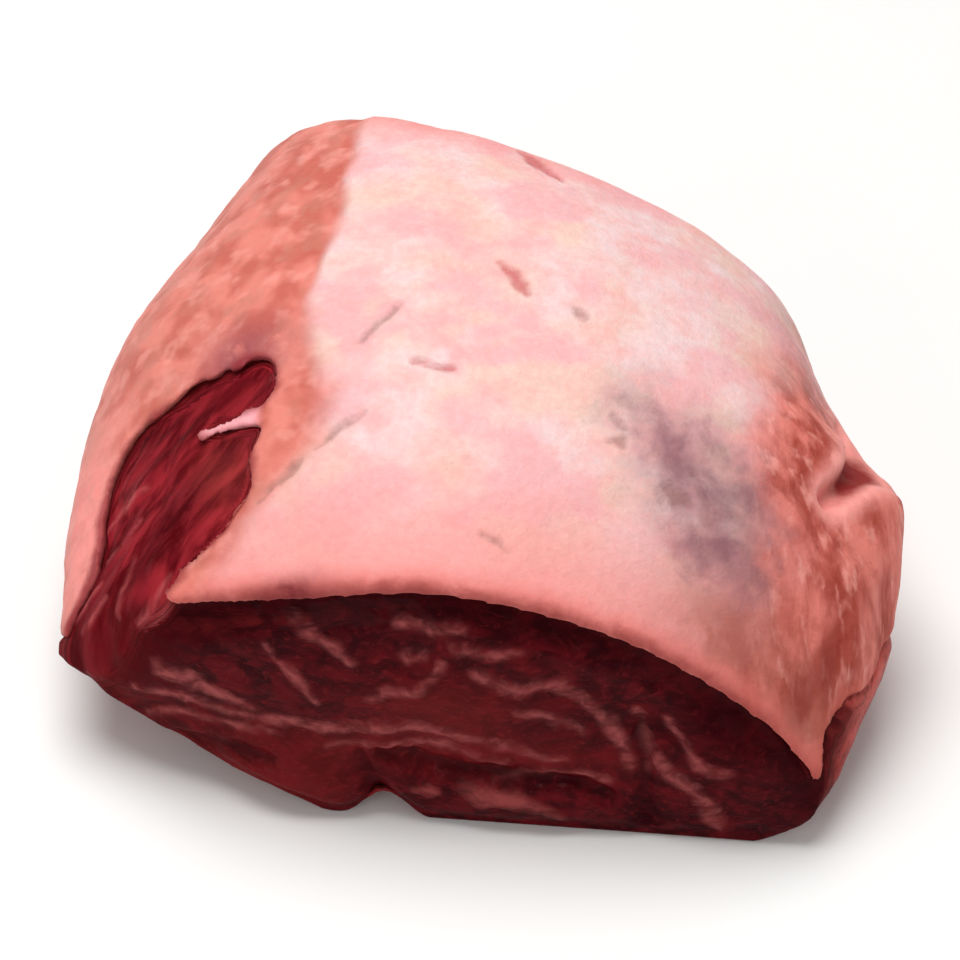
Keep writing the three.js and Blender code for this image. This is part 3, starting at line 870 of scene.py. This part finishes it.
def cutter_depth(p, t):
    more_torn = 1 + humps(p, TORN_END)
    torn = TORN_EDGE * more_torn * fractal(p, 5, 81, 3) + 0.6 * noise(fibre_space(p), 2, 82)
    frayed = FRAYED_EDGE * fractal(p, 6, 83, 2)
    outside = smoothstep(gap_distance(p) + torn, -GAP_BLEND, GAP_BLEND)
    above = smoothstep(cap_edge_height(p) + frayed, -FINE_BLEND, FINE_BLEND)
    under = muscle_depth(p, t) + FAT_SINK
    return mix(-CUTTER_PROUD, under, above * outside)


def carve_cap():
    """The outer form less the cutter, as one fine and even mesh."""
    outer = loft(rounded_rings(FRONT_LIP, BACK_ROLL),
                 lambda *ring: points_at_depth(*ring, lambda p, t: 0 * t))
    inner = loft(cutter_rings(), lambda *ring: points_at_depth(*ring, cutter_depth))
    cap = make_object("fat_cap_skin", *outer)
    cutter = make_object("cap_cutter", *inner)
    cut = cap.modifiers.new("cut", "BOOLEAN")
    cut.operation, cut.object, cut.solver = "DIFFERENCE", cutter, "MANIFOLD"
    apply_modifiers(cap)
    remesh = cap.modifiers.new("remesh", "REMESH")
    remesh.mode, remesh.voxel_size = "VOXEL", FAT_VOXEL * MM
    apply_modifiers(cap)
    bpy.data.objects.remove(cutter)
    return cap


def make_cap():
    cap = carve_cap()
    smooth_out(cap, ROUNDS_ALL_OVER)
    near_edge = np.flatnonzero(edge_distance(read_points(cap)) < EDGE_REACH)
    cap.vertex_groups.new(name="edge").add(near_edge.tolist(), 1, "REPLACE")
    smooth_out(cap, ROUNDS_AT_EDGE, "edge")
    keep_largest(cap)
    shade_smooth(cap)
    points, normals = read_points(cap), read(cap, "normal")
    rise = cap_detail(points) * cap_outside(points, normals)
    write_points(cap, points + normals * rise[:, None])
    paint_cap(cap, points)
    return cap


def edge_distance(p):
    """Distance from the cap's front and lower edges, roughly."""
    from_front = p[:, 1] - front_y(p[:, 0], p[:, 2])
    return np.minimum(np.abs(cap_edge_height(p)), from_front)


def smooth_out(piece, rounds, group=""):
    smooth = piece.modifiers.new("smooth", "SMOOTH")
    smooth.factor, smooth.iterations, smooth.vertex_group = 0.5, rounds, group
    apply_modifiers(piece)


def cap_outside(points, normals):
    """1 on the outer side of the cap, 0 on the side that lies on the muscle."""
    outward = points - np.array(CAP_INSIDE)
    outward[:, 1] *= 0.3
    outward /= np.linalg.norm(outward, axis=-1, keepdims=True)
    return smoothstep((normals * outward).sum(-1), -0.1, 0.3)


def loose_points(mesh):
    """The points that don't hang together with the largest part of a mesh."""
    edges = np.empty(len(mesh.edges) * 2, dtype=np.int64)
    mesh.edges.foreach_get("vertices", edges)
    starts, ends = edges.reshape(-1, 2).T
    label = np.arange(len(mesh.vertices))
    while True:
        low = np.minimum(label[starts], label[ends])
        new = label.copy()
        np.minimum.at(new, starts, low)
        np.minimum.at(new, ends, low)
        new = new[new]
        if (new == label).all():
            break
        label = new
    names, counts = np.unique(label, return_counts=True)
    return np.flatnonzero(label != names[counts.argmax()])


def keep_largest(piece):
    """Drops loose scraps that the cut and the remesh leave."""
    loose = loose_points(piece.data)
    if len(loose) == 0:
        return
    shape = bmesh.new()
    shape.from_mesh(piece.data)
    shape.verts.ensure_lookup_table()
    bmesh.ops.delete(shape, geom=[shape.verts[i] for i in loose], context="VERTS")
    shape.to_mesh(piece.data)
    shape.free()


def paint_cap(piece, points):
    x, y, z = points.T
    from_back = back_y(x, z) - y
    store(
        piece,
        left_flank=left_flank(points),
        right_flank=right_flank(points),
        red_nick=mark_distance(points, RED_NICKS),
        grey_scratch=mark_distance(points, GREY_SCRATCHES),
        bruise=chain_distance(points[:, :2], BRUISE_CHAIN),
        bruise_core=nearest_chain(points[:, :2], BRUISE_CORES),
        from_front=y - front_y(x, z),
        from_gap=gap_distance(points),
        from_edge=cap_edge_height(points),
        from_crevice=chain_distance(points, CREVICE_CHAIN),
        stain=humps(points, STAIN),
        brown=humps(points, BROWN_PATCHES),
        front_patch=humps(points, FRONT_PATCH),
        strip=humps(points, STRIP),
        thin_streak=chain_distance(points, THIN_STREAK),
        tongue=np.maximum(chain_distance(points, TONGUE_CHAIN), chain_distance(points, GAP_CHAIN)),
        from_back=from_back + ROSY_BACK_NARROWING * np.maximum(x - ROSY_BACK_FROM_X, 0),
        streak_space=streak_space(points),
    )


# ---- Materials ----

def linear(screen_colour):
    """A screen colour as a linear one."""
    parts = np.array(screen_colour) / 255
    parts = np.where(parts <= 0.04045, parts / 12.92, ((parts + 0.055) / 1.055) ** 2.4)
    return (*parts.tolist(), 1)


class Nodes:
    """Short calls for building one material's node tree."""

    def __init__(self, name):
        self.material = bpy.data.materials.new(name)
        self.material.use_nodes = True
        self.tree = self.material.node_tree
        self.tree.nodes.clear()
        self.shader = self.add("ShaderNodeBsdfPrincipled")
        output = self.add("ShaderNodeOutputMaterial")
        self.link(self.shader.outputs["BSDF"], output.inputs["Surface"])

    def add(self, kind, **settings):
        node = self.tree.nodes.new(kind)
        for key, value in settings.items():
            setattr(node, key, value)
        return node

    def link(self, value, socket):
        if isinstance(value, bpy.types.NodeSocket):
            self.tree.links.new(value, socket)
        else:
            socket.default_value = value

    def fill(self, node, sockets):
        for name, value in sockets.items():
            self.link(value, node.inputs[name])

    def attribute(self, name, vector=False):
        node = self.add("ShaderNodeAttribute", attribute_name=name)
        return node.outputs["Vector" if vector else "Fac"]

    def place(self, scale=(1, 1, 1)):
        """The place on the piece in mm, stretched by scale."""
        node = self.add("ShaderNodeVectorMath", operation="MULTIPLY")
        self.link(self.add("ShaderNodeTexCoord").outputs["Object"], node.inputs[0])
        node.inputs[1].default_value = [s / MM for s in scale]
        return node.outputs[0]

    def noise(self, vector, size, detail=3.0, rough=0.55, warp=0.0):
        node = self.add("ShaderNodeTexNoise")
        self.fill(node, {"Vector": vector, "Scale": 1 / size, "Detail": detail,
                         "Roughness": rough, "Distortion": warp})
        return node.outputs["Fac"]

    def math(self, operation, a, b):
        node = self.add("ShaderNodeMath", operation=operation)
        self.link(a, node.inputs[0])
        self.link(b, node.inputs[1])
        return node.outputs[0]

    def times(self, a, b):
        return self.math("MULTIPLY", a, b)

    def plus(self, a, b):
        return self.math("ADD", a, b)

    def mask(self, name, share):
        """A stored mask, weakened to some share."""
        return self.times(self.attribute(name), share)

    def uneven(self, name, shift):
        """A stored distance, made uneven by some shift."""
        return self.plus(self.attribute(name), shift)

    def fade(self, value, low, high, start=0.0, end=1.0):
        """value from low to high becomes start to end, smoothly and no further."""
        node = self.add("ShaderNodeMapRange", interpolation_type="SMOOTHSTEP")
        self.fill(node, {"Value": value, "From Min": low, "From Max": high,
                         "To Min": start, "To Max": end})
        return node.outputs["Result"]

    def mix(self, share, a, b):
        """a where share is 0 and b where it is 1; either may be a screen colour."""
        node = self.add("ShaderNodeMix", data_type="RGBA")
        self.link(share, node.inputs["Factor"])
        for name, value in (("A", a), ("B", b)):
            self.link(linear(value) if isinstance(value, tuple) else value, node.inputs[name])
        return node.outputs["Result"]

    def layers(self, base, shares_and_tints):
        """Lays one tint after another over the base, each where its share says."""
        for share, tint in shares_and_tints:
            base = self.mix(share, base, tint)
        return base

    def bump(self, height, distance_mm, strength):
        node = self.add("ShaderNodeBump")
        self.fill(node, {"Height": height, "Distance": distance_mm * MM, "Strength": strength})
        return node.outputs["Normal"]

    def set_flesh(self, deep_share, radius, scale_mm, specular, coat, coat_roughness):
        """How far light travels under the surface, and how much it shines."""
        shader = self.shader.inputs
        shader["Subsurface Weight"].default_value = deep_share
        shader["Subsurface Radius"].default_value = radius
        shader["Subsurface Scale"].default_value = scale_mm * MM
        shader["Specular IOR Level"].default_value = specular
        shader["IOR"].default_value = 1.4
        shader["Coat Weight"].default_value = coat
        shader["Coat Roughness"].default_value = coat_roughness


def fat_colour(n, middle, small):
    """Pale fat with cream, rosy and pink patches, pinker toward both cuts."""
    base = n.mix(n.fade(n.noise(n.place(), 22, 2), 0.42, 0.6), PALE_FAT, CREAM_FAT)
    rosy = n.noise(n.place((1, 1.2, 0.8)), 17, 2)
    return n.layers(base, [
        (n.fade(rosy, 0.46, 0.62, 0, 0.85), ROSY_FAT),
        (n.fade(middle, 0.35, 0.7, 0, 0.55), PINK_FAT),
        (n.fade(n.uneven("from_front", n.times(middle, 14)), 6, 38, 0.95, 0), FRONT_FAT),
        (n.fade(n.attribute("from_back"), 3, 22, 0.8, 0), BACK_FAT_EDGE),
        (n.attribute("left_flank"), left_colour(n, middle)),
        (n.attribute("right_flank"), right_colour(n, middle)),
        (n.fade(small, 0.3, 0.7, 0, 0.14), RED_SPECKS),
    ])


def left_colour(n, middle):
    """Thin fat over the left side: salmon with tan and pink patches."""
    soft = n.noise(n.place((1, 0.9, 0.8)), 9, 2, 0.5, 0.3)
    streaks = n.noise(n.place((1.1, 0.8, 0.6)), 7, 3, 0.5, 0.3)
    pale = n.noise(n.place((1, 1, 0.7)), 6, 2)
    return n.layers(n.mix(n.fade(soft, 0.36, 0.62), DEEP_SALMON, SALMON), [
        (n.fade(streaks, 0.46, 0.68, 0, 0.65), TAN_FAT),
        (n.fade(pale, 0.5, 0.7, 0, 0.6), PALE_SALMON),
        (n.mask("strip", n.fade(middle, 0.3, 0.6, 0.6, 1)), STRIP_PINK),
    ])


def right_colour(n, middle):
    """Ruddy fat of the right side, with drawn-out brown and pink streaks."""
    at = n.attribute("streak_space", vector=True)
    streaks, thin = n.noise(at, 6.5, 4, 0.55, 0.3), n.noise(at, 3, 3, 0.55)
    return n.layers(n.mix(n.fade(streaks, 0.36, 0.64), RUSTY_FAT, RUDDY_FAT), [
        (n.fade(thin, 0.52, 0.7, 0, 0.6), STREAK_PINK),
        (n.fade(middle, 0.5, 0.72, 0, 0.6), BROWN_RED),
    ])


def stains_and_fold_shade(n, base, middle, loose):
    """The bruise, the browner patches, the stain past the gap, the fold with painted shade in its crevice,
    and the tongue.
    """
    patches = n.fade(n.noise(n.place((1.2, 0.9, 1)), 8, 3, 0.55, 0.5), 0.36, 0.62, 0.6, 1)
    bruised = n.fade(n.uneven("bruise", n.times(loose, 18)), -10, 10, 0.9, 0)
    fold = n.uneven("from_crevice", n.times(loose, 3))
    return n.layers(base, [
        (n.times(bruised, patches), BRUISE),
        (n.fade(n.uneven("bruise_core", n.times(loose, 12)), -3, 4.5, 0.4, 0), BRUISE_CORE),
        (n.mask("brown", n.fade(middle, 0.3, 0.6, 0.3, 0.85)), BROWN_FAT),
        (n.mask("stain", n.fade(middle, 0.3, 0.5, 0.3, 0.8)), MAUVE_STAIN),
        (n.fade(n.uneven("thin_streak", n.times(loose, 6)), -1.2, 2.2, 0.7, 0), THIN_FAT),
        (n.fade(fold, 3, 7.5, 0.75, 0), FOLD_RIM),
        # Painted shade down in the crevice.
        (n.fade(fold, -0.5, 3, 0.95, 0), FOLD_CREVICE_SHADE),
        (n.fade(n.attribute("tongue"), -1.5, 1.5, 0.85, 0), TONGUE_PINK),
    ])


def edges_lip_shade_and_nicks(n, base, middle, small, loose):
    """The redder fat where the cap ends, with painted shade along the front lip, and the nicks on it."""
    ragged = n.times(n.plus(small, -0.5), 2.2)
    wavy = n.plus(n.times(ragged, 0.4), n.times(loose, 6))
    base = n.layers(base, [
        (n.fade(n.uneven(name, n.times(wavy, 0.6)), -0.4, reach, share, 0), tint)
        for name, reach, share, tint in EDGE_TINTS_AND_LIP_SHADE
    ])
    return n.layers(base, [
        (n.mask("front_patch", n.fade(middle, 0.3, 0.55, 0.4, 1)), PATCH_RED),
        (n.fade(n.uneven("red_nick", ragged), -1.0, 1.4, 0.75, 0), NICK_RED),
        (n.fade(n.uneven("grey_scratch", ragged), -0.9, 1.1, 0.6, 0), SCRATCH_GREY),
    ])


def make_fat_material():
    n = Nodes("raw_fat")
    middle, small = n.noise(n.place(), 7, 4, 0.6, 0.4), n.noise(n.place(), 1.6, 3)
    loose = n.plus(middle, -0.5)
    base = stains_and_fold_shade(n, fat_colour(n, middle, small), middle, loose)
    dull = n.plus(n.fade(n.attribute("from_crevice"), 2, 8, 0.25, 0), n.mask("right_flank", 0.2))
    soft, fine = n.noise(n.place(), 3.4, 4, 0.55), n.noise(n.place(), 0.8, 3, 0.6)
    n.fill(n.shader, {
        "Base Color": edges_lip_shade_and_nicks(n, base, middle, small, loose),
        "Roughness": n.plus(n.fade(middle, 0.3, 0.7, 0.4, 0.6), dull),
        "Normal": n.bump(n.plus(soft, n.times(fine, 0.3)), 0.6, 0.8),
    })
    n.set_flesh(0.25, (1.0, 0.4, 0.3), 2.0, specular=0.1, coat=0.05, coat_roughness=0.25)
    return n.material


def muscle_colour(n, at, middle, small):
    """Dark red on the cuts, brighter in the gap and low on the sides."""
    bare = n.layers(n.mix(n.fade(middle, 0.36, 0.64), DEEP_BARE, BARE_MUSCLE), [
        (n.mask("glow", n.fade(middle, 0.3, 0.6, 0.3, 0.9)), BARE_GLOW),
    ])
    side = n.layers(n.mix(n.fade(middle, 0.36, 0.66), DEEP_SIDE, SIDE_MUSCLE), [
        (n.mask("smear", n.fade(small, 0.3, 0.6, 0.3, 1)), SMEARED_FAT),
    ])
    return n.layers(n.mix(n.fade(middle, 0.36, 0.66), DEEP_MUSCLE, CUT_MUSCLE), [
        (n.attribute("in_gap"), bare),
        (n.mask("side", 0.85), side),
        (n.fade(n.noise(at, 13, 2), 0.45, 0.65, 0, 0.5), DARK_PATCH),
        (n.mask("lobe", 0.65), LOBE_RED),
        (n.fade(small, 0.5, 0.74, 0, 0.35), FLECKS),
        (n.mask("shadow", 0.7), SHADED_MUSCLE),
        (n.mask("corner", 0.85), CORNER_RED),
        (n.mask("corner_tip", n.fade(middle, 0.35, 0.55)), CORNER_TIP_RED),
    ])


def seams_and_cleft_shade(n, at, base, middle, small):
    """Silverskin, strands and fat in the muscle, and painted shade in its clefts."""
    ragged = n.times(n.plus(small, -0.5), 2.4)
    patchy = n.fade(n.noise(at, 3.4, 3), 0.34, 0.6, 0.25, 0.9)
    silver = n.fade(n.uneven("silver", ragged), -1.2, 1.7, 1, 0)
    strand = n.fade(n.uneven("strand", n.times(ragged, 0.5)), -0.8, 1.1, 1, 0)
    fatty = n.fade(n.uneven("fatty", ragged), -1.8, 1.6, 0.75, 0)
    return n.layers(base, [
        (n.times(silver, patchy), SILVERSKIN),
        (n.times(strand, n.times(patchy, 0.75)), STRAND_PINK),
        (n.times(fatty, n.fade(middle, 0.3, 0.6, 0.5, 1)), FAT_IN_CUT),
        # Painted shade in the clefts.
        (n.fade(n.uneven("crevice", ragged), -1.0, 1.8, 0.6, 0), CLEFT_SHADE),
    ])


def make_muscle_material():
    n = Nodes("raw_muscle")
    at = n.attribute("grain_space", vector=True)
    middle, small = n.noise(at, 4.2, 4, 0.55, 0.4), n.noise(at, 1.3, 3, 0.6, 0.3)
    base = muscle_colour(n, at, middle, small)
    height = n.plus(n.times(middle, 0.8), n.times(n.noise(at, 0.9, 3, 0.55), 0.35))
    n.fill(n.shader, {
        "Base Color": seams_and_cleft_shade(n, at, base, middle, small),
        "Roughness": n.plus(n.fade(small, 0.3, 0.7, 0.36, 0.56), n.mask("shadow", 0.3)),
        "Normal": n.bump(height, 0.6, 0.7),
    })
    n.set_flesh(0.08, (1.0, 0.2, 0.15), 1.0, specular=0.04, coat=0.035, coat_roughness=0.14)
    return n.material


def make_floor_material():
    n = Nodes("pale_floor")
    shade = n.noise(n.place(), 60, 2)
    floor_colour = n.mix(n.times(shade, 0.3), FLOOR_LIGHT, FLOOR_DARK)
    n.fill(n.shader, {"Base Color": floor_colour, "Roughness": 0.7})
    return n.material


# ---- Stage ----

def make_camera():
    rise = math.radians(CAMERA_ELEVATION)
    back = Vector((0, -math.cos(rise), math.sin(rise)))
    target = Vector(CAMERA_TARGET) * MM
    data = bpy.data.cameras.new("camera")
    data.lens = CAMERA_LENS
    data.sensor_width = SENSOR_WIDTH
    camera = put_in_scene("camera", data)
    right = Vector((1, 0, 0))
    turn = Matrix((right, back.cross(right), back)).transposed()
    camera.matrix_world = Matrix.Translation(target + back * CAMERA_DISTANCE * MM) @ turn.to_4x4()
    bpy.context.scene.camera = camera


def make_floor():
    corners = np.array([(-1, -1, 0), (1, -1, 0), (1, 1, 0), (-1, 1, 0)])
    floor = make_object("floor", FLOOR_REACH * corners, [(0, 1, 2, 3)])
    floor.data.materials.append(make_floor_material())


def make_lamp(name, place, width, power):
    data = bpy.data.lights.new(name, "AREA")
    data.shape, data.size, data.energy = "DISK", width, power
    lamp = put_in_scene(name, data)
    lamp.location = place
    lamp.rotation_euler = (Vector(LAMP_AIM) - Vector(place)).to_track_quat("-Z", "Y").to_euler()


def make_lights():
    for name, (place, width, power) in LAMPS.items():
        make_lamp(name, place, width, power)
    world = bpy.data.worlds.new("studio")
    world.use_nodes = True
    background = world.node_tree.nodes["Background"].inputs
    background["Color"].default_value = (1, 1, 1, 1)
    background["Strength"].default_value = SKY_STRENGTH
    bpy.context.scene.world = world
    bpy.context.scene.view_settings.view_transform = "Standard"


# ---- Putting it together ----

def dress(piece, material, node):
    piece.data.materials.clear()
    piece.data.materials.append(material)
    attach(piece, "root")
    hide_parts(node)


make_camera()
dress(make_muscle(), make_muscle_material(), "lean")
dress(make_cap(), make_fat_material(), "fat_cap")
make_floor()
make_lights()
